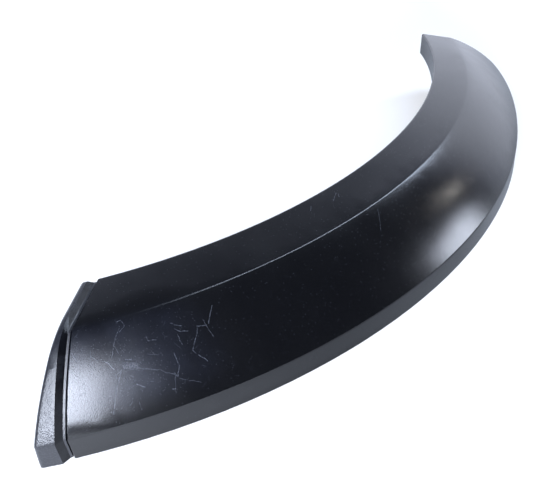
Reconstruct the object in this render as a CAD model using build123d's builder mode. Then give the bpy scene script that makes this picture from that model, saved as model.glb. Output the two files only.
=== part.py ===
import os
from math import cos, hypot, radians, sin, sqrt, tan

from build123d import *

os.makedirs("parts", exist_ok=True)

# Main sizes in millimetres and degrees, measured from the wheel axis
lip_radius = 430.0
wall_radius = 520.0
half_angle = 39.7
wall = 3.0
flange_depth = 25.0

# The section beside the end piece, and at the far end
near_section = dict(lip=68.4, crease_radius=478.2, crease=67.7, shoulder=18.3, bulge=2.5)
far_section = dict(lip=73.7, crease_radius=464.5, crease=66.9, shoulder=30.6, bulge=3.6)
section_power = 1.7
section_count = 9
lip_round = 2.0
crease_round = 3.0
shoulder_round = 3.0

# The wall keeps its height up to a share of the far half, then grows to the far end
rise_start = 0.23
rise_power = 1.2
foot_width = wall + 1.0
open_depth = 2 * wall
floor_cut = 1.0

# The end cuts, turned from the radius at the wall; the far one leans out at its foot
near_slant = -19.5
near_trim = 0.5
far_slant = -10.3
far_lean = 10.8
lean_height = 32.6
end_round = 1.2
corner_round = 6.0

# The grained end piece, measured away from the near end of the panel
seam_gap = 0.8
land_end = 2.2
ridge_start = 5.4
ridge_height = 2.0
land_depth = 1.5
end_width_top = 8.0
end_width_middle = 15.9
end_width_foot = 20.0
end_set_back = 1.0
end_piece_round = 2.5
end_piece_wall = 2.2
least_round = 0.5

# The crease fades out over the end piece: its bend at the ridge and past the end, from the width of the band
band_width = near_section["crease_radius"] - lip_radius
ridge_bend = 0.83 * band_width
end_bend = 1.87 * band_width

# Ribs and clip towers under the skin
rib_thickness = 2.0
rib_height = 9.0
rib_setback = 8.0
rib_angles = [half_angle * share for share in (-0.6, -0.3, 0.0, 0.3, 0.6)]
tower_angles = [half_angle * share for share in (-0.75, -0.45, -0.15, 0.15, 0.45, 0.75)]
tower_radius = lip_radius + 47.0
tower_wall = 2.0
plate_bottom = 22.0
plate_thickness = 2.0

# Push-in clips held in the towers
clip_gap = 0.2
clip_neck = 3.2
clip_head = 6.2
clip_head_height = 2.0
clip_washer = 8.0
clip_washer_height = 1.4
clip_core = 2.8
clip_barb = 4.2
clip_tip = 1.5
barb_count = 4
barb_pitch = 3.0
slot_radius = clip_neck + 2 * clip_gap
tower_depth = 2 * (clip_head + 2 * clip_gap + tower_wall)
tower_width = tower_depth + 2.0

# Liner screw holes in the inner flange
hole_angles = [half_angle * share for share in (-0.75, -0.15, 0.45)]
hole_radius = 3.25
lip_heights = (near_section["lip"], far_section["lip"])
hole_height = (min(lip_heights) + max(lip_heights) - flange_depth) / 2

# Screws that hold the end piece, as radius and height on the near end of the panel
screw_places = [(lip_radius + 30.0, 49.0), (wall_radius - 23.0, 22.0)]
screw_radius = 1.9
screw_clearance = 0.1
screw_head = 4.0
screw_head_height = 2.6
screw_reach = 8.0
boss_radius = 3.8
boss_end = screw_reach + 1.2

# Foam seal inside the foot of the wall
seal_width = 5.0
seal_height = 6.0
seal_lift = 0.2
seal_gap = 0.1
seal_margin = 3.0


def outwards(angle):
    """Level direction away from the wheel axis at an angle from the crown."""
    return Vector(sin(radians(angle)), -cos(radians(angle)), 0)


def radial_plane(angle):
    """Upright plane through the wheel axis, x outwards and y up."""
    out = outwards(angle)
    return Plane(origin=(0, 0, 0), x_dir=out, z_dir=(out.Y, -out.X, 0))


def blend(angle):
    """Sizes of the section at an angle from the crown."""
    share = max((half_angle - angle) / (2 * half_angle), 0) ** section_power
    sizes = {key: far_section[key] + (near_section[key] - far_section[key]) * share for key in far_section}
    rise = max((angle / half_angle - rise_start) / (1 - rise_start), 0) ** rise_power
    low, high = near_section["shoulder"], far_section["shoulder"]
    sizes["shoulder"] = low + (high - low) * rise
    return sizes


def meet(p, q, s, t):
    """Point where line p to q crosses line s to t."""
    along = q - p
    other = t - s
    step = s - p
    return p + along * ((step.X * other.Y - step.Y * other.X) / (along.X * other.Y - along.Y * other.X))


def corners(sizes, inset, lip_inset):
    """Lip, crease and shoulder corners of the section, moved inwards by an inset."""
    lip = Vector(lip_radius, sizes["lip"])
    crease = Vector(sizes["crease_radius"], sizes["crease"])
    shoulder = Vector(wall_radius, sizes["shoulder"])
    band = (crease - lip).normalized()
    slope = (shoulder - crease).normalized()
    under_band = Vector(band.Y, -band.X) * inset
    under_slope = Vector(slope.Y, -slope.X) * inset
    flange = Vector(lip_radius + lip_inset, 0)
    side = Vector(wall_radius - inset, 0)
    upright = Vector(0, 1)
    new_lip = meet(flange, flange + upright, lip + under_band, crease + under_band)
    new_crease = meet(lip + under_band, crease + under_band, crease + under_slope, shoulder + under_slope)
    new_shoulder = meet(side, side + upright, crease + under_slope, shoulder + under_slope)
    return new_lip, new_crease, new_shoulder


def outline(sizes, inset, drop, rounds=(), place=lambda radius: radius):
    """Closed section face, moved inwards by an inset, its back lowered by a drop."""
    lip, crease, shoulder = corners(sizes, inset, inset if inset >= 0 else end_set_back)
    slope = (shoulder - crease).normalized()
    middle = (crease + shoulder) * 0.5 + Vector(-slope.Y, slope.X) * sizes["bulge"]
    rim = sizes["lip"] - flange_depth
    foot = -max(drop, floor_cut) if drop >= 0 else -drop
    lip, crease, middle, shoulder = [Vector(place(p.X), p.Y) for p in (lip, crease, middle, shoulder)]
    with BuildSketch() as face:
        with BuildLine():
            Line((lip.X, rim - drop), lip)
            Line(lip, crease)
            ThreePointArc(crease, middle, shoulder)
            Line(shoulder, (shoulder.X, foot))
            Polyline(
                (shoulder.X, foot),
                (shoulder.X - foot_width, foot),
                (lip.X + foot_width, rim - drop),
                (lip.X, rim - drop),
            )
        make_face()
        for corner, size in zip((lip, crease, shoulder), rounds):
            fillet(face.vertices().sort_by_distance(corner)[0], size)
    return face.sketch


def cut_plane(angle, slant, shift=0.0):
    """Upright plane of an end cut, its normal pointing away from the arch."""
    side = -1 if angle < 0 else 1
    along = outwards(angle + slant)
    away = Vector(-along.Y, along.X, 0) * side
    return Plane(origin=outwards(angle) * wall_radius + away * shift, x_dir=along * -side, z_dir=away)


def along_cut(plane, radius):
    """Distance along the near cut at which a plane reaches a radius."""
    start = plane.origin
    part_way = start.dot(plane.x_dir)
    return sqrt(part_way**2 - start.dot(start) + radius**2) - part_way


def at_back(edge):
    """True for an edge of the open back, which stays sharp."""
    spot = edge.center()
    share = (wall_radius - hypot(spot.X, spot.Y)) / (wall_radius - lip_radius)
    return spot.Z < share * (max(near_section["lip"], far_section["lip"]) - flange_depth) + wall


section_angles = [half_angle * (2.34 * step / (section_count - 1) - 1.16) for step in range(section_count)]
near_cut = cut_plane(-half_angle, near_slant, -near_trim)
far_upright = cut_plane(half_angle, far_slant)
far_cut = Plane(
    origin=far_upright.origin + Vector(0, 0, lean_height),
    x_dir=far_upright.x_dir,
    z_dir=far_upright.z_dir * cos(radians(far_lean)) + Vector(0, 0, sin(radians(far_lean))),
)

# The hollow under the skin, with a wall left at each end
with BuildPart() as hollow:
    for angle in section_angles:
        with BuildSketch(radial_plane(angle)):
            add(outline(blend(angle), wall, open_depth))
    loft()
    split(bisect_by=near_cut.offset(-wall), keep=Keep.BOTTOM)
    split(bisect_by=far_cut.offset(-wall), keep=Keep.BOTTOM)

# A core half way through the skin, where ribs and towers end
with BuildPart() as core:
    for angle in section_angles:
        with BuildSketch(radial_plane(angle)):
            add(outline(blend(angle), wall / 2, open_depth))
    loft()

# Ribs that follow the skin between flange and wall
with BuildPart() as ribs:
    for angle in rib_angles:
        sizes = blend(angle)
        with BuildSketch(radial_plane(angle)):
            add(outline(sizes, wall / 2, -rib_setback))
            add(outline(sizes, wall + rib_height, open_depth), mode=Mode.SUBTRACT)
        extrude(amount=rib_thickness / 2, both=True)

# One clip tower: a plate with a slot, held on three walls
tower_top = max(lip_heights)
with BuildPart() as tower:
    with BuildSketch(Plane.XY.offset(plate_bottom)):
        Rectangle(tower_depth, tower_width)
    extrude(amount=tower_top - plate_bottom)
    with BuildSketch(Plane.XY.offset(plate_bottom + plate_thickness)):
        with Locations((0, tower_wall)):
            Rectangle(tower_depth - 2 * tower_wall, tower_width)
    extrude(amount=tower_top - plate_bottom, mode=Mode.SUBTRACT)
    with BuildSketch(Plane.XY.offset(plate_bottom)):
        Circle(slot_radius)
        with Locations((0, tower_width / 2)):
            Rectangle(2 * slot_radius, tower_width)
    extrude(amount=plate_thickness, mode=Mode.SUBTRACT)

tower_spots = []
for angle in tower_angles:
    out = outwards(angle)
    tower_spots.append(Plane(origin=out * tower_radius, x_dir=out, z_dir=(0, 0, 1)))
with BuildPart() as towers:
    with Locations(*tower_spots):
        add(tower.part)
    add(core.part, mode=Mode.INTERSECT)

# Holes through the flange and through the near end wall
hole_spots = []
for angle in hole_angles:
    middle = outwards(angle) * (lip_radius + wall / 2) + Vector(0, 0, hole_height)
    hole_spots.append(Plane(origin=middle, z_dir=outwards(angle)))
with BuildPart() as flange_holes:
    with Locations(*hole_spots):
        Cylinder(hole_radius, 3 * wall)

screw_spots = []
for radius, height in screw_places:
    spot = near_cut.origin + near_cut.x_dir * along_cut(near_cut, radius) + Vector(0, 0, height)
    screw_spots.append(Plane(origin=spot, x_dir=near_cut.x_dir, z_dir=near_cut.z_dir))
with BuildPart() as wall_holes:
    with Locations(*screw_spots):
        Cylinder(screw_radius + 3 * screw_clearance, 3 * wall)

# A cutter that rounds the near lip corner in plan
corner = near_cut.origin + near_cut.x_dir * along_cut(near_cut, lip_radius)
lip_way = Vector(-corner.Y, corner.X, 0).normalized()
half_turn = near_cut.x_dir.get_angle(lip_way) / 2
tangent = corner_round / tan(radians(half_turn))
inwards = (near_cut.x_dir + lip_way).normalized()
with BuildPart() as corner_cut:
    with BuildSketch():
        with BuildLine():
            Polyline(
                corner - inwards,
                corner + lip_way * tangent - inwards * 0.1,
                corner + inwards * (corner_round / sin(radians(half_turn))),
                corner + near_cut.x_dir * tangent - inwards * 0.1,
                close=True,
            )
        make_face()
        with Locations(corner + inwards * (corner_round / sin(radians(half_turn)))):
            Circle(corner_round, mode=Mode.SUBTRACT)
    extrude(amount=2 * tower_top)

# The arch panel: a lofted skin whose section changes along the arch
with BuildPart() as arch_panel:
    for angle in section_angles:
        with BuildSketch(radial_plane(angle)):
            add(outline(blend(angle), 0.0, 0.0, (lip_round, crease_round, shoulder_round)))
    loft()
    split(bisect_by=near_cut, keep=Keep.BOTTOM)
    split(bisect_by=far_cut, keep=Keep.BOTTOM)
    split(bisect_by=Plane.XY, keep=Keep.TOP)
    for cut in (near_cut, far_cut):
        ranked = arch_panel.faces().sort_by(lambda face: abs((face.center() - cut.origin).dot(cut.z_dir)))
        end_face = ranked[0]
        fillet([edge for edge in end_face.edges() if not at_back(edge)], end_round)
    add(hollow.part, mode=Mode.SUBTRACT)
    add(corner_cut.part, mode=Mode.SUBTRACT)
    add(ribs.part)
    add(towers.part)
    add(flange_holes.part, mode=Mode.SUBTRACT)
    add(wall_holes.part, mode=Mode.SUBTRACT)

# The grained end piece: land, slope and ridge beside the panel
end_sizes = blend(-half_angle * 0.95)
end_reach = 2 * end_width_foot
land = [(seam_gap, land_depth, crease_round), (land_end, land_depth, crease_round)]
ridge = [(ridge_start, -ridge_height, ridge_bend), (end_reach, -ridge_height, end_bend)]
side_plane = Plane(origin=near_cut.origin, x_dir=near_cut.z_dir, z_dir=near_cut.x_dir * -1)


def end_station(shift):
    """Plane beside the near cut, and its distance for a radius."""
    plane = near_cut.offset(shift)
    return plane, lambda radius: along_cut(plane, radius)


def end_rounds(inset, bend):
    """Roundings of lip, crease and shoulder on the end piece, at an inset."""
    return [max(size - inset, least_round) for size in (lip_round, bend, shoulder_round)]


def beyond_end(inset):
    """All that lies past the bowed end face, moved inwards by an inset."""
    top = end_sizes["lip"] + ridge_height + wall
    far = 3 * end_reach
    with BuildPart() as past:
        with BuildSketch(side_plane):
            with BuildLine():
                ThreePointArc(
                    (end_width_top - inset, top),
                    (end_width_middle - inset, top / 2),
                    (end_width_foot - inset, 0),
                )
                Polyline(
                    (end_width_foot - inset, 0),
                    (end_width_foot - inset, -2 * open_depth),
                    (far, -2 * open_depth),
                    (far, 2 * top),
                    (end_width_top - inset, 2 * top),
                    (end_width_top - inset, top),
                )
            make_face()
        extrude(amount=wall_radius, both=True)
    return past.part


with BuildPart() as end_hollow:
    inside = end_piece_wall - ridge_height
    inner_stations = [
        (seam_gap + end_piece_wall, land_depth + end_piece_wall, crease_round),
        (land_end + end_piece_wall / 2, land_depth + end_piece_wall, crease_round),
        (ridge_start + end_piece_wall / 2, inside, ridge_bend),
        (end_reach, inside, end_bend),
    ]
    for shift, inset, bend in inner_stations:
        plane, place = end_station(shift)
        with BuildSketch(plane):
            add(outline(end_sizes, inset, open_depth, end_rounds(inset, bend), place))
    loft(ruled=True)
    add(beyond_end(end_piece_wall), mode=Mode.SUBTRACT)

with BuildPart() as end_piece:
    for shift, inset, bend in land + ridge:
        plane, place = end_station(shift)
        with BuildSketch(plane):
            add(outline(end_sizes, inset, 0.0, end_rounds(inset, bend), place))
    loft(ruled=True)
    add(beyond_end(0), mode=Mode.SUBTRACT)
    split(bisect_by=Plane.XY, keep=Keep.TOP)
    end_face = end_piece.faces().sort_by(lambda face: face.center().dot(near_cut.z_dir))[-1]
    fillet([edge for edge in end_face.edges() if not at_back(edge)], end_piece_round)
    add(end_hollow.part, mode=Mode.SUBTRACT)
    with Locations(*screw_spots):
        with Locations((0, 0, seam_gap + end_piece_wall / 2)):
            Cylinder(
                boss_radius,
                boss_end - seam_gap - end_piece_wall / 2,
                align=(Align.CENTER, Align.CENTER, Align.MIN),
            )
    with Locations(*screw_spots):
        Cylinder(
            screw_radius + screw_clearance,
            screw_reach + screw_clearance,
            align=(Align.CENTER, Align.CENTER, Align.MIN),
            mode=Mode.SUBTRACT,
        )

# Screws from inside the panel into the end piece
with BuildPart() as screw:
    with Locations((0, 0, -wall)):
        Cylinder(screw_radius, wall + screw_reach, align=(Align.CENTER, Align.CENTER, Align.MIN))
        Cylinder(screw_head, screw_head_height, align=(Align.CENTER, Align.CENTER, Align.MAX))
    fillet(screw.faces().sort_by(Axis.Z)[0].edges(), 0.4 * screw_head_height)
    with BuildSketch(Plane.XY.offset(-wall - screw_head_height)):
        Rectangle(0.25 * screw_head, 1.1 * screw_head)
        Rectangle(1.1 * screw_head, 0.25 * screw_head)
    extrude(amount=0.5 * screw_head_height, mode=Mode.SUBTRACT)
with BuildPart() as end_piece_screws:
    with Locations(*screw_spots):
        add(screw.part)

# Push-in clips
washer_bottom = plate_bottom - clip_gap - clip_washer_height
head_bottom = plate_bottom + plate_thickness + clip_gap
with BuildPart() as clip:
    with BuildSketch(Plane.XZ):
        with BuildLine():
            stem = [(0, head_bottom + clip_head_height), (clip_head, head_bottom + clip_head_height)]
            stem += [(clip_head, head_bottom), (clip_neck, head_bottom)]
            stem += [(clip_neck, plate_bottom - clip_gap), (clip_washer, plate_bottom - clip_gap)]
            stem += [(clip_washer, washer_bottom), (clip_core, washer_bottom)]
            stem += [(clip_core, washer_bottom - 0.6 * barb_pitch)]
            for step in range(barb_count):
                barb_top = washer_bottom - barb_pitch * (step + 0.6)
                stem += [(clip_barb, barb_top - 0.15 * barb_pitch), (clip_core, barb_top - barb_pitch)]
            stem += [(clip_tip, barb_top - barb_pitch - clip_tip), (0, barb_top - barb_pitch - clip_tip)]
            Polyline(*stem, close=True)
        make_face()
    revolve(axis=Axis.Z)
with BuildPart() as trim_clips:
    with Locations(*tower_spots):
        add(clip.part)

# Foam seal inside the foot of the wall
seal_start = half_angle - seal_margin
with BuildPart() as edge_seal:
    with BuildSketch(radial_plane(-seal_start)):
        with Locations((wall_radius - wall - seal_gap, seal_lift)):
            Rectangle(seal_width, seal_height, align=(Align.MAX, Align.MIN))
    revolve(axis=Axis.Z, revolution_arc=2 * seal_start)

# The middle of the footprint becomes the origin
whole = arch_panel.part.bounding_box().add(end_piece.part.bounding_box())
home = Location((-whole.center().X, -whole.center().Y, -whole.min.Z))

arch_panel.part.label = "arch_panel"
export_step(arch_panel.part.moved(home), "parts/arch_panel.step")
end_piece.part.label = "end_piece"
export_step(end_piece.part.moved(home), "parts/end_piece.step")
end_piece_screws.part.label = "end_piece_screws"
export_step(end_piece_screws.part.moved(home), "parts/end_piece_screws.step")
trim_clips.part.label = "trim_clips"
export_step(trim_clips.part.moved(home), "parts/trim_clips.step")
edge_seal.part.label = "edge_seal"
export_step(edge_seal.part.moved(home), "parts/edge_seal.step")
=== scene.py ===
from math import atan2, cos, hypot, radians, sin

import bmesh
import bpy
from mathutils import Matrix, Vector
from mathutils.bvhtree import BVHTree
from mathutils.interpolate import poly_3d_calc


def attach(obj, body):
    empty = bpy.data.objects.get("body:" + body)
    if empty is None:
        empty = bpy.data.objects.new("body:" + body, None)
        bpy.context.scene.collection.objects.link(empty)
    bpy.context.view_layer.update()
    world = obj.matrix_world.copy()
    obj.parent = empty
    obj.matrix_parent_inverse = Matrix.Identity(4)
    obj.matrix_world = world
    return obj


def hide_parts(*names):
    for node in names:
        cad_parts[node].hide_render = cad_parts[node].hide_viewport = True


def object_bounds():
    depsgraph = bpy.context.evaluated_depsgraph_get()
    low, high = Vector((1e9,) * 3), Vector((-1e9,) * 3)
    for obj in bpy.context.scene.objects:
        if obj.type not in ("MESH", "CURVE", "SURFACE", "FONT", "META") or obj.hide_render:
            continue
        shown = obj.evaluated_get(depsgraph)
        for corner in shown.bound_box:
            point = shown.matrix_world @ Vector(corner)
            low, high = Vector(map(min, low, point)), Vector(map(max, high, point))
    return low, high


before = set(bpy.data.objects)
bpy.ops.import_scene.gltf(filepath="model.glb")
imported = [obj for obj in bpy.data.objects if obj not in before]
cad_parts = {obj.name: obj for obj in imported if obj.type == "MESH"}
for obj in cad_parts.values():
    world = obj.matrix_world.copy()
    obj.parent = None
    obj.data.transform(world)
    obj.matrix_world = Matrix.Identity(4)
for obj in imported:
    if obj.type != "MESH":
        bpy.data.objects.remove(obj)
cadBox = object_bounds()
print("frame loaded")

# the arch as the solids have it, in metres; angles run from the crown, the grained end is negative
arch = {
    "axis": (0.0054427, 0.421447),
    "lipRadius": 0.430,
    "wallRadius": 0.520,
    "halfAngle": radians(39.7),
    "blendPower": 1.7,
    "near": {"lip": 0.0684, "creaseRadius": 0.4782, "crease": 0.0677, "shoulder": 0.0183, "bulge": 0.0025},
    "far": {"lip": 0.0737, "creaseRadius": 0.4645, "crease": 0.0669, "shoulder": 0.0306, "bulge": 0.0036},
    "riseStart": 0.23,  # from this share of the far half on the wall grows
    "risePower": 1.2,
    "mapRadius": 0.475,  # arc length on the skin map is taken at this radius
}
mergeGap = 0.00001  # corners of a solid's triangles that are closer than this become one


def angleAt(place):
    return atan2(place.x - arch["axis"][0], arch["axis"][1] - place.y)


def radiusAt(place):
    return hypot(place.x - arch["axis"][0], place.y - arch["axis"][1])


def onArch(angle, radius, height):
    return Vector((arch["axis"][0] + radius * sin(angle), arch["axis"][1] - radius * cos(angle), height))


def sectionAt(angle):
    half = arch["halfAngle"]
    share = max((half - angle) / (2 * half), 0) ** arch["blendPower"]
    near, far = arch["near"], arch["far"]
    size = {key: far[key] + (near[key] - far[key]) * share for key in near}
    rise = max((angle / half - arch["riseStart"]) / (1 - arch["riseStart"]), 0) ** arch["risePower"]
    size["shoulder"] = near["shoulder"] + (far["shoulder"] - near["shoulder"]) * rise
    return size


def sharpen(mesh, angle):
    for face in mesh.faces:
        face.smooth = True
    for edge in mesh.edges:
        edge.smooth = len(edge.link_faces) == 2 and edge.calc_face_angle(0) < angle


def mapSkin(mesh):
    # u is the distance from the wheel axis, v the arc length from the crown
    layer = mesh.loops.layers.uv.new("skinMap")
    for face in mesh.faces:
        for loop in face.loops:
            place = loop.vert.co
            loop[layer].uv = (radiusAt(place), angleAt(place) * arch["mapRadius"])


def mergedCopy(node):
    mesh = bmesh.new()
    mesh.from_mesh(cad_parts[node].data)
    bmesh.ops.remove_doubles(mesh, verts=mesh.verts[:], dist=mergeGap)
    return mesh


def pieceFrom(mesh, name, materials):
    data = bpy.data.meshes.new(name)
    mesh.to_mesh(data)
    mesh.free()
    for material in materials:
        data.materials.append(material)
    piece = bpy.data.objects.new(name, data)
    bpy.context.scene.collection.objects.link(piece)
    return piece


# even outer skin of the panel, spun round the wheel axis and drawn to the changing section
skin = {
    "from": radians(-48.0),
    "to": radians(49.0),
    "steps": 160,
    "rings": {"flange": 2, "band": 10, "slope": 16, "wall": 4},
    # width and segments of the rounded edge where each of these begins
    "rounds": {"band": (0.0019, 5), "slope": (0.0009, 4), "wall": (0.00095, 4)},
    "seedRadius": 0.5,  # the rings are spun here, and so far apart, before they are drawn to the section
    "seedStep": 0.001,
    "flangeDrop": 0.024,
    "footDrop": 0.002,
    "sharp": radians(28),
    "softFrom": radians(-22.5),  # from here to the grained end the crease shades softer
    "softTo": radians(-29.5),
    "softBand": (0.012, 0.078),  # the stretch that softens, measured from the lip
    "softRounds": 8,
    "softShare": 0.6,
    "skinGap": 0.0006,  # a face this close to the even skin, and facing its way, is on it
    "skinFacing": 0.96,
    "backGap": 0.0015,  # a face this far behind it, and clear of the lip, has the moulded finish
    "lipClear": 0.0004,
}


def skinPlace(angle, part, share):
    size = sectionAt(angle)
    lip = (arch["lipRadius"], size["lip"])
    rim = (arch["lipRadius"], size["lip"] - skin["flangeDrop"])
    crease = (size["creaseRadius"], size["crease"])
    shoulder = (arch["wallRadius"], size["shoulder"])
    foot = (arch["wallRadius"], -skin["footDrop"])
    ends = {
        "flange": (rim, lip),
        "band": (lip, crease),
        "slope": (crease, shoulder),
        "wall": (shoulder, foot),
    }
    start, end = ends[part]
    run, rise = end[0] - start[0], end[1] - start[1]
    bow = 4 * size["bulge"] * share * (1 - share) / hypot(run, rise) if part == "slope" else 0.0
    return onArch(angle, start[0] + run * share - rise * bow, start[1] + rise * share + run * bow)


def spinSkin():
    parts = [(part, step / count) for part, count in skin["rings"].items() for step in range(count)]
    parts.append(("wall", 1.0))
    mesh = bmesh.new()
    row = []
    for ring in range(len(parts)):
        row.append(mesh.verts.new(onArch(skin["from"], skin["seedRadius"], skin["seedStep"] * ring)))
    for first, second in zip(row, row[1:]):
        mesh.edges.new((first, second))
    bmesh.ops.spin(
        mesh,
        geom=mesh.verts[:] + mesh.edges[:],
        cent=(*arch["axis"], 0.0),
        axis=(0.0, 0.0, 1.0),
        angle=skin["to"] - skin["from"],
        steps=skin["steps"],
        use_merge=False,
        use_duplicate=False,
    )
    rings = {vert: round(vert.co.z / skin["seedStep"]) for vert in mesh.verts}
    loops = {part: [] for part in skin["rounds"]}
    for edge in mesh.edges:
        first, second = (rings[vert] for vert in edge.verts)
        part, share = parts[first]
        if first == second and share == 0 and part in loops:
            loops[part].append(edge)
    for vert, ring in rings.items():
        vert.co = skinPlace(angleAt(vert.co), *parts[ring])
    mesh.normal_update()
    if sum(face.normal.z for face in mesh.faces) < 0:
        bmesh.ops.reverse_faces(mesh, faces=mesh.faces[:])
        mesh.normal_update()
    for part, edges in loops.items():
        width, segments = skin["rounds"][part]
        bmesh.ops.bevel(
            mesh,
            geom=edges,
            offset=width,
            offset_type="OFFSET",
            segments=segments,
            profile=0.5,
            affect="EDGES",
            material=-1,
            clamp_overlap=False,
        )
        mesh.normal_update()
    return mesh


evenSkin = spinSkin()
evenTree = BVHTree.FromBMesh(evenSkin)
print("even skin spun")

# the photograph's viewpoint
view = {
    "at": (-0.428383, -0.253176, 0.331589),
    "right": (0.604341, -0.792201, -0.084791),
    "up": (0.511342, 0.304052, 0.803792),
    "lens": 41.671,
    "clipStart": 0.01,
}

# picture positions are in the photograph's own pixels
photo = {"width": 551, "height": 503, "sensor": 36.0}


def skinSpot(column, row):
    # where the sight line through a picture position meets the skin, as a place on the skin map
    reach = view["lens"] / photo["sensor"] * photo["width"]
    right, up = Vector(view["right"]), Vector(view["up"])
    sight = right * (column - photo["width"] / 2) + up * (photo["height"] / 2 - row) - right.cross(up) * reach
    spot = evenTree.ray_cast(Vector(view["at"]), sight.normalized())[0]
    return (radiusAt(spot), angleAt(spot) * arch["mapRadius"], 0.0)


# small helpers for the node trees
def newMaterial(name):
    material = bpy.data.materials.new(name)
    material.use_nodes = True
    tree = material.node_tree
    return material, tree, tree.nodes["Principled BSDF"]


def feed(tree, socket, value):
    if isinstance(value, bpy.types.NodeSocket):
        tree.links.new(value, socket)
    else:
        socket.default_value = value


def addNode(tree, kind, settings=None, **sockets):
    node = tree.nodes.new(kind)
    for key, value in (settings or {}).items():
        setattr(node, key, value)
    for key, value in sockets.items():
        feed(tree, node.inputs[key], value)
    return node


def math(tree, operation, *values, clamp=False):
    node = addNode(tree, "ShaderNodeMath", {"operation": operation, "use_clamp": clamp})
    for socket, value in zip(node.inputs, values):
        feed(tree, socket, value)
    return node.outputs[0]


def vectorMath(tree, operation, *values, **sockets):
    node = addNode(tree, "ShaderNodeVectorMath", {"operation": operation}, **sockets)
    for socket, value in zip(node.inputs, values):
        feed(tree, socket, value)
    return node.outputs["Value" if operation in ("DOT_PRODUCT", "DISTANCE", "LENGTH") else "Vector"]


def ramp(tree, value, low, high, toLow=0.0, toHigh=1.0):
    limits = {"From Min": low, "From Max": high, "To Min": toLow, "To Max": toHigh}
    node = addNode(tree, "ShaderNodeMapRange", {"interpolation_type": "SMOOTHSTEP"}, Value=value, **limits)
    return node.outputs["Result"]


def noise(tree, place, scale, detail=2.0, roughness=0.5):
    node = addNode(tree, "ShaderNodeTexNoise", Vector=place, Scale=scale, Detail=detail, Roughness=roughness)
    return node.outputs["Fac"]


def cells(tree, place, feature, scale, **sockets):
    return addNode(tree, "ShaderNodeTexVoronoi", {"feature": feature}, Vector=place, Scale=scale, **sockets)


def bend(tree, place, scale, reach):
    # the place strays by up to half the reach each way
    wander = addNode(tree, "ShaderNodeTexNoise", Vector=place, Scale=scale, Detail=1.0).outputs["Color"]
    shift = vectorMath(tree, "MULTIPLY_ADD", wander, reach, [-step / 2 for step in reach])
    return vectorMath(tree, "ADD", place, shift)


def colourMix(tree, share, *colours):
    node = addNode(tree, "ShaderNodeMix", {"data_type": "RGBA"})
    feed(tree, node.inputs[0], share)
    for index, colour in zip((6, 7), colours):  # the colour sockets, as output 2 is
        isLink = isinstance(colour, bpy.types.NodeSocket)
        feed(tree, node.inputs[index], colour if isLink else (*colour, 1.0))
    return node.outputs[2]


def bump(tree, height, strength, distance):
    node = addNode(tree, "ShaderNodeBump", Strength=strength, Distance=distance, Height=height)
    return node.outputs["Normal"]


def dress(tree, shader, colour, roughness, normal):
    tree.links.new(colour, shader.inputs["Base Color"])
    tree.links.new(roughness, shader.inputs["Roughness"])
    tree.links.new(normal, shader.inputs["Normal"])


shineSpread = (0.3, 0.7)  # the part of a noise that carries a finish from its first roughness to its second
white = (1.0, 1.0, 1.0)

# gloss black skin: its colours and shine; a noise has a scale, then detail and roughness
glossSkin = {
    "black": (0.0026, 0.0027, 0.0033),
    # the patch colour: scuffs, with a painted bluish reflection on top
    "scuffWithReflection": (0.0125, 0.0145, 0.0235),
    "scratched": (0.100, 0.108, 0.132),
    "smears": (26.0, 4.0, 0.6),
    "roughness": (0.20, 0.24),
    "hazeRoughness": 0.06,
    "strokeRoughness": 0.16,
    "dustRoughness": 0.2,
    "grit": (1000.0, 2.0, 0.6),
    "gritBump": (0.85, 0.00006),
    "ior": 1.5,
}

# wear on that skin: strokes, a patch of scuffs that also carries a painted bluish reflection, hairlines and
# dust
wear = {
    "strokeWidth": 0.00027,
    "strokeLean": 1e-9,
    "wander": (420.0, (0.0012, 0.0012, 0.0)),
    "skips": (1600.0, 1.0),
    "skipSpread": (0.40, 0.56, 0.12, 1.0),
    "wallEdge": (0.5190, 0.5165),  # radii between which strokes and hairlines come in
    "patchAlong": (-0.215, -0.300),  # arc lengths, then radii, between which the patch comes in
    "patchInner": (0.470, 0.490),
    "patchOuter": (0.5195, 0.5060),
    "cloud": (38.0, 3.0),
    "cloudSpread": (0.15, 0.85, 0.25, 1.0),
    "hairCells": 95.0,
    "hairWidth": (0.016, 0.004),
    "hairPlaces": (150.0, 1.0),
    "hairSpread": (0.54, 0.66),
    "hairStrength": (0.45, 0.03),  # in the patch, and what is added everywhere
    "dustCells": 900.0,
    "dustSize": (0.30, 0.12),
    "dustBar": 0.94,  # a cell that draws more than this has a speck
    "dustPatch": 0.42,  # and the patch lowers the bar by so much
    "dustColour": 0.7,
}
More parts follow.
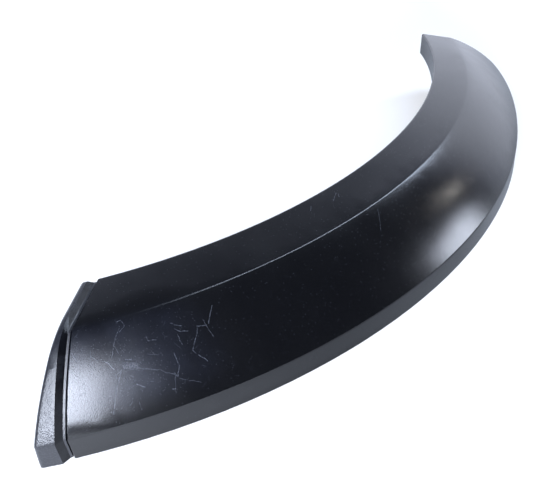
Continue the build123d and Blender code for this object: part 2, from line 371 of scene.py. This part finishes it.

# the scratches that show most, by picture positions read off, then how strong each is
scratches = {
    "tallStroke": ([(212, 305.5), (208.5, 323)], 0.8),
    "tallCross": ([(203, 320), (213.5, 337)], 0.5),
    "bigHook": ([(207, 325), (197, 326.5), (197, 333), (192.5, 350), (196, 353)], 0.6),
    "hookTail": ([(199, 355), (207.5, 361)], 0.8),
    "wideBend": ([(174, 353), (179, 365), (178, 377), (174.5, 373.5)], 0.8),
    "longTrail": ([(137, 368), (160, 370), (174, 374.5)], 0.4),
    "lowTrail": ([(180, 379), (201, 382)], 0.3),
    "edgeNick": ([(105, 361), (114.5, 369.5)], 0.9),
    "downLine": ([(121, 372), (117, 388), (114, 414)], 0.45),
    "topLoop": ([(117, 322), (121, 320), (124, 326), (119.5, 332)], 0.5),
    "loopTail": ([(119.5, 328), (115, 338), (112, 358)], 0.5),
    "lowTick": ([(136.5, 384), (145, 387)], 0.8),
    "lowDrop": ([(139.5, 402), (141.5, 409)], 0.6),
    "upperZig": ([(188, 331), (180, 331.5), (175, 329)], 0.6),
    "upperTick": ([(171, 323.5), (182, 326.5)], 0.5),
    "midDrop": ([(178, 336), (182.5, 345)], 0.6),
    "smallHook": ([(146, 335.5), (148, 341), (156, 339.5)], 0.5),
    "shortDash": ([(126, 360), (132, 359)], 0.6),
    "lowDash": ([(173, 389), (177, 389.5)], 0.9),
    "lipNickLeft": ([(311.3, 206), (310.5, 211)], 1.0),
    "lipNickRight": ([(336, 193), (333, 201.5)], 1.0),
    "lipNickFine": ([(338.5, 193.5), (339, 197)], 0.8),
    "slopeScratch": ([(378, 209), (381, 231)], 0.5),
}
scrapeBar = {"run": [(124, 366.5), (136.5, 366)], "width": 0.0018, "weight": 0.4}


# one straight stroke of a scratch, as a soft mask around the line from Start to End, on top of those Before
def makeStrokeGroup():
    tree = bpy.data.node_groups.new("scratchStroke", "ShaderNodeTree")
    for name in ("Place", "Start", "End"):
        tree.interface.new_socket(name, in_out="INPUT", socket_type="NodeSocketVector")
    for name in ("Width", "Weight", "Before"):
        tree.interface.new_socket(name, in_out="INPUT", socket_type="NodeSocketFloat")
    tree.interface.new_socket("Mask", in_out="OUTPUT", socket_type="NodeSocketFloat")
    given = tree.nodes.new("NodeGroupInput").outputs
    result = tree.nodes.new("NodeGroupOutput").inputs

    # leaning on the stroke before by next to nothing makes Cycles work them out one after another
    settled = math(tree, "MULTIPLY", given["Before"], wear["strokeLean"])
    place = vectorMath(tree, "ADD", given["Place"], settled)
    away = vectorMath(tree, "SUBTRACT", place, given["Start"])
    along = vectorMath(tree, "SUBTRACT", given["End"], given["Start"])
    covered = vectorMath(tree, "DOT_PRODUCT", away, along)
    whole = vectorMath(tree, "DOT_PRODUCT", along, along)
    share = math(tree, "DIVIDE", covered, whole, clamp=True)
    foot = vectorMath(tree, "SCALE", along, Scale=share)
    gap = vectorMath(tree, "LENGTH", vectorMath(tree, "SUBTRACT", away, foot))
    near = math(tree, "SUBTRACT", 1.0, math(tree, "DIVIDE", gap, given["Width"]), clamp=True)
    mask = math(tree, "MULTIPLY", near, given["Weight"])
    tree.links.new(math(tree, "MAXIMUM", given["Before"], mask), result["Mask"])
    return tree


def addStrokes(tree, place):
    group = makeStrokeGroup()
    runs = [(run, wear["strokeWidth"], weight) for run, weight in scratches.values()]
    runs.append((scrapeBar["run"], scrapeBar["width"], scrapeBar["weight"]))
    strokes = 0.0
    for run, width, weight in runs:
        for first, second in zip(run, run[1:]):
            stroke = addNode(
                tree,
                "ShaderNodeGroup",
                {"node_tree": group},
                Place=place,
                Start=skinSpot(*first),
                End=skinSpot(*second),
                Width=width,
                Weight=weight,
                Before=strokes,
            )
            strokes = stroke.outputs["Mask"]
    return strokes


def makeGlossSkin():
    material, tree, shader = newMaterial("glossSkin")
    skinMap = addNode(tree, "ShaderNodeUVMap", {"uv_map": "skinMap"}).outputs["UV"]
    place = addNode(tree, "ShaderNodeTexCoord").outputs["Object"]

    # the strokes wander a little, skip where they are faint, and stop short of the wall
    strokePlace = bend(tree, skinMap, *wear["wander"])
    strokes = addStrokes(tree, strokePlace)
    split = addNode(tree, "ShaderNodeSeparateXYZ", Vector=skinMap)
    offWall = ramp(tree, split.outputs["X"], *wear["wallEdge"])
    skips = ramp(tree, noise(tree, skinMap, *wear["skips"]), *wear["skipSpread"])
    strokes = math(tree, "MULTIPLY", strokes, math(tree, "MULTIPLY", skips, offWall))

    # a patch of scuffs on the slope beside the grained end, thinning out along the arch, whose bluish colour
    # is also a painted reflection
    beside = ramp(tree, split.outputs["Y"], *wear["patchAlong"])
    onSlope = ramp(tree, split.outputs["X"], *wear["patchInner"])
    onSlope = math(tree, "MULTIPLY", onSlope, ramp(tree, split.outputs["X"], *wear["patchOuter"]))
    cloud = ramp(tree, noise(tree, skinMap, *wear["cloud"]), *wear["cloudSpread"])
    patch = math(tree, "MULTIPLY", math(tree, "MULTIPLY", beside, onSlope), cloud)

    # hairlines: bent cell borders, kept only here and there
    web = cells(tree, strokePlace, "DISTANCE_TO_EDGE", wear["hairCells"])
    borders = ramp(tree, web.outputs["Distance"], *wear["hairWidth"])
    kept = ramp(tree, noise(tree, skinMap, *wear["hairPlaces"]), *wear["hairSpread"])
    hairs = math(tree, "MULTIPLY", borders, kept)
    hairs = math(tree, "MULTIPLY", hairs, math(tree, "MULTIPLY_ADD", patch, *wear["hairStrength"]))
    hairs = math(tree, "MULTIPLY", hairs, offWall)
    strokes = math(tree, "MAXIMUM", strokes, hairs)

    # fine dust and nicks, denser in the patch
    dots = cells(tree, place, "F1", wear["dustCells"])
    drawn = addNode(tree, "ShaderNodeSeparateXYZ", Vector=dots.outputs["Color"]).outputs["X"]
    bar = math(tree, "SUBTRACT", wear["dustBar"], math(tree, "MULTIPLY", patch, wear["dustPatch"]))
    chosen = math(tree, "GREATER_THAN", drawn, bar)
    dust = math(tree, "MULTIPLY", ramp(tree, dots.outputs["Distance"], *wear["dustSize"]), chosen)

    smears = noise(tree, skinMap, *glossSkin["smears"])
    # the patch and the dust tint the black; in the patch this is scuffs plus a painted bluish reflection
    wearAndReflection = math(tree, "MAXIMUM", patch, math(tree, "MULTIPLY", dust, wear["dustColour"]))
    colour = colourMix(tree, wearAndReflection, glossSkin["black"], glossSkin["scuffWithReflection"])
    colour = colourMix(tree, strokes, colour, glossSkin["scratched"])
    shine = ramp(tree, smears, *shineSpread, *glossSkin["roughness"])
    shine = math(tree, "MULTIPLY_ADD", patch, glossSkin["hazeRoughness"], shine)
    shine = math(tree, "MULTIPLY_ADD", strokes, glossSkin["strokeRoughness"], shine)
    shine = math(tree, "MULTIPLY_ADD", dust, glossSkin["dustRoughness"], shine)
    ripple = bump(tree, noise(tree, place, *glossSkin["grit"]), *glossSkin["gritBump"])
    dress(tree, shader, colour, shine, ripple)
    shader.inputs["IOR"].default_value = glossSkin["ior"]
    return material


# a finish whose colour and shine drift together over a cloud of noise, with a fine tooth
def makeDriftFinish(name, finish):
    material, tree, shader = newMaterial(name)
    place = addNode(tree, "ShaderNodeTexCoord").outputs["Object"]
    cloud = noise(tree, place, *finish["cloud"])
    colour = colourMix(tree, ramp(tree, cloud, *finish["spread"]), *finish["colours"])
    shine = ramp(tree, cloud, *shineSpread, *finish["roughness"])
    tooth = bump(tree, noise(tree, place, *finish["tooth"]), *finish["toothBump"])
    dress(tree, shader, colour, shine, tooth)
    for key, value in finish.get("sockets", {}).items():
        shader.inputs[key].default_value = value
    return material


# moulded back of the panel, left as it came out of the tool
mouldedBack = {
    "colours": ((0.016, 0.016, 0.018), (0.026, 0.026, 0.029)),
    "cloud": (14.0, 5.0, 0.62),
    "spread": (0.35, 0.7),
    "roughness": (0.42, 0.58),
    "tooth": (520.0, 2.0),
    "toothBump": (0.12, 0.0002),
}

# smooth black of the step beside the seam, a little dusty
smoothStep = {
    "colours": ((0.003, 0.0032, 0.0042), (0.007, 0.0075, 0.0095)),
    "cloud": (120.0, 4.0, 0.6),
    "spread": (0.4, 0.7),
    "roughness": (0.16, 0.26),
    "tooth": (1500.0, 2.0, 0.6),
    "toothBump": (0.3, 0.00004),
    "sockets": {"Specular IOR Level": 0.2},
}

# natural nylon of the push-in clips
nylon = {
    "colours": ((0.62, 0.59, 0.52), (0.74, 0.72, 0.66)),
    "cloud": (130.0, 4.0, 0.6),
    "spread": (0.35, 0.65),
    "roughness": (0.34, 0.48),
    "tooth": (900.0, 2.0),
    "toothBump": (0.08, 0.0001),
    "sockets": {"Subsurface Weight": 0.15, "Subsurface Radius": (0.002, 0.0017, 0.0012)},
}

# zinc plated steel of the two screws, rougher where it is dull
zinc = {
    "colours": ((0.40, 0.41, 0.42), (0.62, 0.63, 0.65)),
    "cloud": (700.0, 4.0, 0.65),
    "spread": (0.35, 0.7),
    "roughness": (0.42, 0.22),
    "tooth": (2600.0, 2.0),
    "toothBump": (0.1, 0.00005),
    "sockets": {"Metallic": 1.0},
}

# fine leather-like grain of the end piece, painted darker in its hollows and lighter on its crowns: a painted
# shade and painted light over the plastic's own black
grain = {
    "valleyWithPaintedShade": (0.011, 0.0118, 0.0150),
    "crown": (0.023, 0.0245, 0.0310),
    "bend": (300.0, (0.0012, 0.0012, 0.0012)),
    "cells": 1000.0,
    "smoothness": 0.5,
    "pebble": (0.05, 0.6, 1.0, 0.0),
    "fine": (2400.0, 1.0),
    "fineShare": 0.35,
    "cloud": (60.0, 3.0),
    "roughness": (0.30, 0.40),
    "bump": (0.46, 0.00015),
}


def makeGrain():
    material, tree, shader = newMaterial("grainedPlastic")
    place = addNode(tree, "ShaderNodeTexCoord").outputs["Object"]
    bentPlace = bend(tree, place, *grain["bend"])
    bed = cells(tree, bentPlace, "SMOOTH_F1", grain["cells"], Smoothness=grain["smoothness"])
    pebble = ramp(tree, bed.outputs["Distance"], *grain["pebble"])
    height = math(tree, "MULTIPLY_ADD", noise(tree, place, *grain["fine"]), grain["fineShare"], pebble)
    # painted shade in the grain's hollows and painted light on its crowns
    colour = colourMix(tree, pebble, grain["valleyWithPaintedShade"], grain["crown"])
    shine = ramp(tree, noise(tree, place, *grain["cloud"]), *shineSpread, *grain["roughness"])
    dress(tree, shader, colour, shine, bump(tree, height, *grain["bump"]))
    return material


# open cell foam of the seal, its cells painted darker than their rims as a painted shade
foam = {
    "skin": (0.034, 0.034, 0.036),
    "poreWithPaintedShade": (0.012, 0.012, 0.013),
    "cells": 900.0,
    "rim": (0.22, 0.04),
    "cloud": (200.0, 3.0),
    "roughness": (0.82, 0.95),
    "bump": (0.7, 0.0004),
}


def makeFoam():
    material, tree, shader = newMaterial("sealFoam")
    place = addNode(tree, "ShaderNodeTexCoord").outputs["Object"]
    bubbles = cells(tree, place, "DISTANCE_TO_EDGE", foam["cells"])
    rim = ramp(tree, bubbles.outputs["Distance"], *foam["rim"])
    # painted shade inside the foam's cells
    colour = colourMix(tree, rim, foam["poreWithPaintedShade"], foam["skin"])
    shine = ramp(tree, noise(tree, place, *foam["cloud"]), *shineSpread, *foam["roughness"])
    dress(tree, shader, colour, shine, bump(tree, rim, *foam["bump"]))
    return material


glossMaterial = makeGlossSkin()
backMaterial = makeDriftFinish("mouldedBack", mouldedBack)
grainMaterial = makeGrain()
stepMaterial = makeDriftFinish("smoothStep", smoothStep)
nylonMaterial = makeDriftFinish("clipNylon", nylon)
zincMaterial = makeDriftFinish("screwZinc", zinc)
foamMaterial = makeFoam()
print("materials made")


# normals of the even skin, softened across the crease towards the grained end
def skinNormals():
    even = {}
    middle = []
    inner, outer = skin["softBand"]
    for vert in evenSkin.verts:
        facing = (face.normal * face.calc_area() ** 2 for face in vert.link_faces)
        even[vert] = sum(facing, Vector()).normalized()
        if inner < radiusAt(vert.co) - arch["lipRadius"] < outer and angleAt(vert.co) < skin["softFrom"]:
            middle.append(vert)
    for turn in range(skin["softRounds"]):
        softer = {}
        for vert in middle:
            share = min((angleAt(vert.co) - skin["softFrom"]) / (skin["softTo"] - skin["softFrom"]), 1.0)
            around = sum((even[edge.other_vert(vert)] for edge in vert.link_edges), Vector()).normalized()
            softer[vert] = even[vert].lerp(around, skin["softShare"] * share).normalized()
        even.update(softer)
    return even


def makePanel():
    panel = mergedCopy("arch_panel")
    panel.normal_update()
    sharpen(panel, skin["sharp"])
    mapSkin(panel)

    # faces on the outer skin shade as the even skin does, the ones behind it get the moulded finish
    even = skinNormals()
    evenSkin.faces.ensure_lookup_table()
    normals = []
    onSkin = 0
    for face in panel.faces:
        middle = face.calc_center_median()
        spot, normal, index, gap = evenTree.find_nearest(middle)
        outer = gap < skin["skinGap"] and normal.dot(face.normal) > skin["skinFacing"]
        onSkin += outer
        clearOfLip = radiusAt(middle) > arch["lipRadius"] + skin["lipClear"]
        if not outer and gap > skin["backGap"] and clearOfLip:
            face.material_index = 1
        for loop in face.loops:
            if not outer:
                normals.append((0.0, 0.0, 0.0))
                continue
            spot, normal, index, gap = evenTree.find_nearest(loop.vert.co)
            ring = evenSkin.faces[index].verts
            shares = poly_3d_calc([vert.co for vert in ring], spot)
            blended = sum((even[vert] * share for vert, share in zip(ring, shares)), Vector())
            normals.append(blended.normalized())
    evenSkin.free()
    piece = pieceFrom(panel, "archPanel", [glossMaterial, backMaterial])
    piece.data.normals_split_custom_set(normals)
    print("panel: faces", len(piece.data.polygons), "on the outer skin", onSkin)
    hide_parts("arch_panel")
    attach(piece, "root")


# grained end piece, smoothed over its rounded edges; a face that looks towards the panel is smooth black
endShape = {"sharp": radians(26), "towardsPanel": 0.30}


def makeEndPiece():
    mesh = mergedCopy("end_piece")
    mesh.normal_update()
    sharpen(mesh, endShape["sharp"])
    for face in mesh.faces:
        angle = angleAt(face.calc_center_median())
        along = Vector((cos(angle), sin(angle), 0.0))
        face.material_index = int(face.normal.dot(along) > endShape["towardsPanel"])
    endPiece = pieceFrom(mesh, "endPiece", [grainMaterial, stepMaterial])
    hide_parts("end_piece")
    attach(endPiece, "root")
    print("end piece made")


# the small parts keep their solids and get their finish
smallParts = {"trim_clips": nylonMaterial, "end_piece_screws": zincMaterial, "edge_seal": foamMaterial}


def dressSmallParts():
    for node, material in smallParts.items():
        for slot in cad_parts[node].material_slots:
            slot.material = material
    print("clips, screws and seal dressed")


# white table; a glow has two distances, then its strength at each
stage = {
    "size": 8.0,
    "drop": 0.0002,
    "floorColour": 0.50,
    "roughness": 0.9,
    "cameraGlow": (0.04, 0.45, 0.50, 0.92),
    "mirrorTint": (0.80, 0.86, 1.0),
    # glows of the table seen only in reflections: a painted shadow near the arch, painted light far off and
    # to the left
    "paintedShadowNear": (0.04, 0.26, 0.0, 0.56),
    "paintedLightFar": (0.35, 0.90, 0.0, 0.75),
    "paintedLightLeft": (-0.14, -0.40, 0.0, 1.5),
    "archDepth": 0.13,  # past this the ring round the axis has no arch on it
}


def makeFloor():
    mesh = bmesh.new()
    bmesh.ops.create_grid(mesh, x_segments=1, y_segments=1, size=stage["size"])
    material, tree, shader = newMaterial("whiteTable")
    shade = stage["floorColour"]
    shader.inputs["Base Color"].default_value = (shade, shade, shade, 1.0)
    shader.inputs["Roughness"].default_value = stage["roughness"]
    shader.inputs["Specular IOR Level"].default_value = 0.0
    light = tree.nodes.new("ShaderNodeLightPath").outputs
    mirrored = math(tree, "MAXIMUM", light["Is Glossy Ray"], light["Is Transmission Ray"])

    # seen only in reflections the table glows: a painted shadow close to the arch, painted light further off
    # and to the left
    place = addNode(tree, "ShaderNodeTexCoord").outputs["Object"]
    reach = vectorMath(tree, "DISTANCE", place, (*arch["axis"], 0.0))
    middle = (arch["wallRadius"] + arch["lipRadius"]) / 2
    half = (arch["wallRadius"] - arch["lipRadius"]) / 2
    fromMiddle = math(tree, "ABSOLUTE", math(tree, "SUBTRACT", reach, middle))
    clear = math(tree, "SUBTRACT", fromMiddle, half)
    across = addNode(tree, "ShaderNodeSeparateXYZ", Vector=place).outputs
    clear = math(tree, "MAXIMUM", clear, math(tree, "SUBTRACT", across["Y"], stage["archDepth"]))
    glow = math(tree, "ADD", ramp(tree, clear, *stage["paintedShadowNear"]), ramp(tree, clear, *stage["paintedLightFar"]))
    glow = math(tree, "ADD", glow, ramp(tree, across["X"], *stage["paintedLightLeft"]))
    glow = math(tree, "MULTIPLY", mirrored, glow)
    # seen by the camera the table glows white, less near the arch, so the lamps' shadow shows and the table
    # is painted a little darker round it
    seen = ramp(tree, clear, *stage["cameraGlow"])
    glow = math(tree, "MULTIPLY_ADD", light["Is Camera Ray"], seen, glow)
    tint = colourMix(tree, light["Is Camera Ray"], stage["mirrorTint"], white)
    tree.links.new(tint, shader.inputs["Emission Color"])
    tree.links.new(glow, shader.inputs["Emission Strength"])
    floor = pieceFrom(mesh, "floor", [material])
    floor.data.transform(Matrix.Translation((0.0, 0.0, min(cadBox[0][2], 0.0) - stage["drop"])))


# a pale wall behind the object and a dim room in front of it
room = {
    "dim": 0.06,
    "pale": 2.05,
    "behind": radians(41.0),
    "wallSide": (0.34, 0.54),
    "wallTop": (0.43, 0.66, 1.0, 0.03),
    "dimTint": (0.62, 0.72, 1.0),
    "paleTint": (0.79, 0.845, 1.0),
}


def makeRoom():
    world = bpy.data.worlds.new("studio")
    bpy.context.scene.world = world
    world.use_nodes = True
    tree = world.node_tree
    background = tree.nodes["Background"].inputs
    look = addNode(tree, "ShaderNodeTexCoord").outputs["Generated"]
    height = addNode(tree, "ShaderNodeSeparateXYZ", Vector=look).outputs["Z"]
    level = vectorMath(tree, "DOT_PRODUCT", look, (cos(room["behind"]), sin(room["behind"]), 0.0))
    wall = ramp(tree, level, *room["wallSide"])
    lit = math(tree, "MULTIPLY", wall, ramp(tree, height, *room["wallTop"]))
    glow = math(tree, "MULTIPLY_ADD", lit, room["pale"], room["dim"])
    toCamera = tree.nodes.new("ShaderNodeLightPath").outputs["Is Camera Ray"]
    tree.links.new(math(tree, "MAXIMUM", glow, toCamera), background["Strength"])
    tint = colourMix(tree, lit, room["dimTint"], room["paleTint"])
    tree.links.new(colourMix(tree, toCamera, tint, white), background["Color"])


# soft lamps: where each stands, what it faces, its size and power
lamps = {
    "leftSoftbox": {
        "at": (-0.961, -0.300, 0.474),
        "faces": (-0.30, 0.02, 0.04),
        "size": (0.46, 0.42),
        "power": 23.0,
    },
    "rightStrip": {
        "at": (0.638, -0.697, 0.160),
        "faces": (-0.02, -0.09, 0.02),
        "size": (0.27, 0.21),
        "power": 2.7,
    },
    "warmLamp": {
        "at": (0.731, -0.505, 0.365),
        "faces": (0.01, -0.07, 0.05),
        "size": (0.05, 0.06),
        "power": 0.15,
        "tint": (1.0, 0.95, 0.89),
    },
    "longStrip": {
        "at": (0.500, -0.160, 1.035),
        "faces": (-0.08, -0.03, 0.067),
        "size": (0.16, 1.25),
        "power": 12.0,
        "tint": (0.70, 0.81, 1.0),
    },
}
lampTint = (0.79, 0.855, 1.0)


def makeLamps():
    for name, lamp in lamps.items():
        data = bpy.data.lights.new(name, "AREA")
        data.shape = "RECTANGLE"
        data.size, data.size_y = lamp["size"]
        data.energy = lamp["power"]
        data.color = lamp.get("tint", lampTint)
        item = bpy.data.objects.new(name, data)
        item.location = lamp["at"]
        item.rotation_euler = (Vector(lamp["faces"]) - Vector(lamp["at"])).to_track_quat("-Z", "Y").to_euler()
        bpy.context.scene.collection.objects.link(item)


def makeCamera():
    data = bpy.data.cameras.new("photoView")
    data.sensor_fit = "HORIZONTAL"
    data.sensor_width = photo["sensor"]
    data.lens = view["lens"]
    data.clip_start = view["clipStart"]
    camera = bpy.data.objects.new("photoView", data)
    right, up = Vector(view["right"]), Vector(view["up"])
    turn = Matrix((right, up, right.cross(up))).transposed().to_4x4()
    camera.matrix_world = Matrix.Translation(view["at"]) @ turn.to_quaternion().to_matrix().to_4x4()
    bpy.context.scene.collection.objects.link(camera)
    bpy.context.scene.camera = camera


makePanel()
makeEndPiece()
dressSmallParts()
makeFloor()
makeRoom()
makeLamps()
makeCamera()
bpy.context.scene.view_settings.view_transform = "Standard"
print("stage, lamps and camera placed")

bpy.context.view_layer.update()
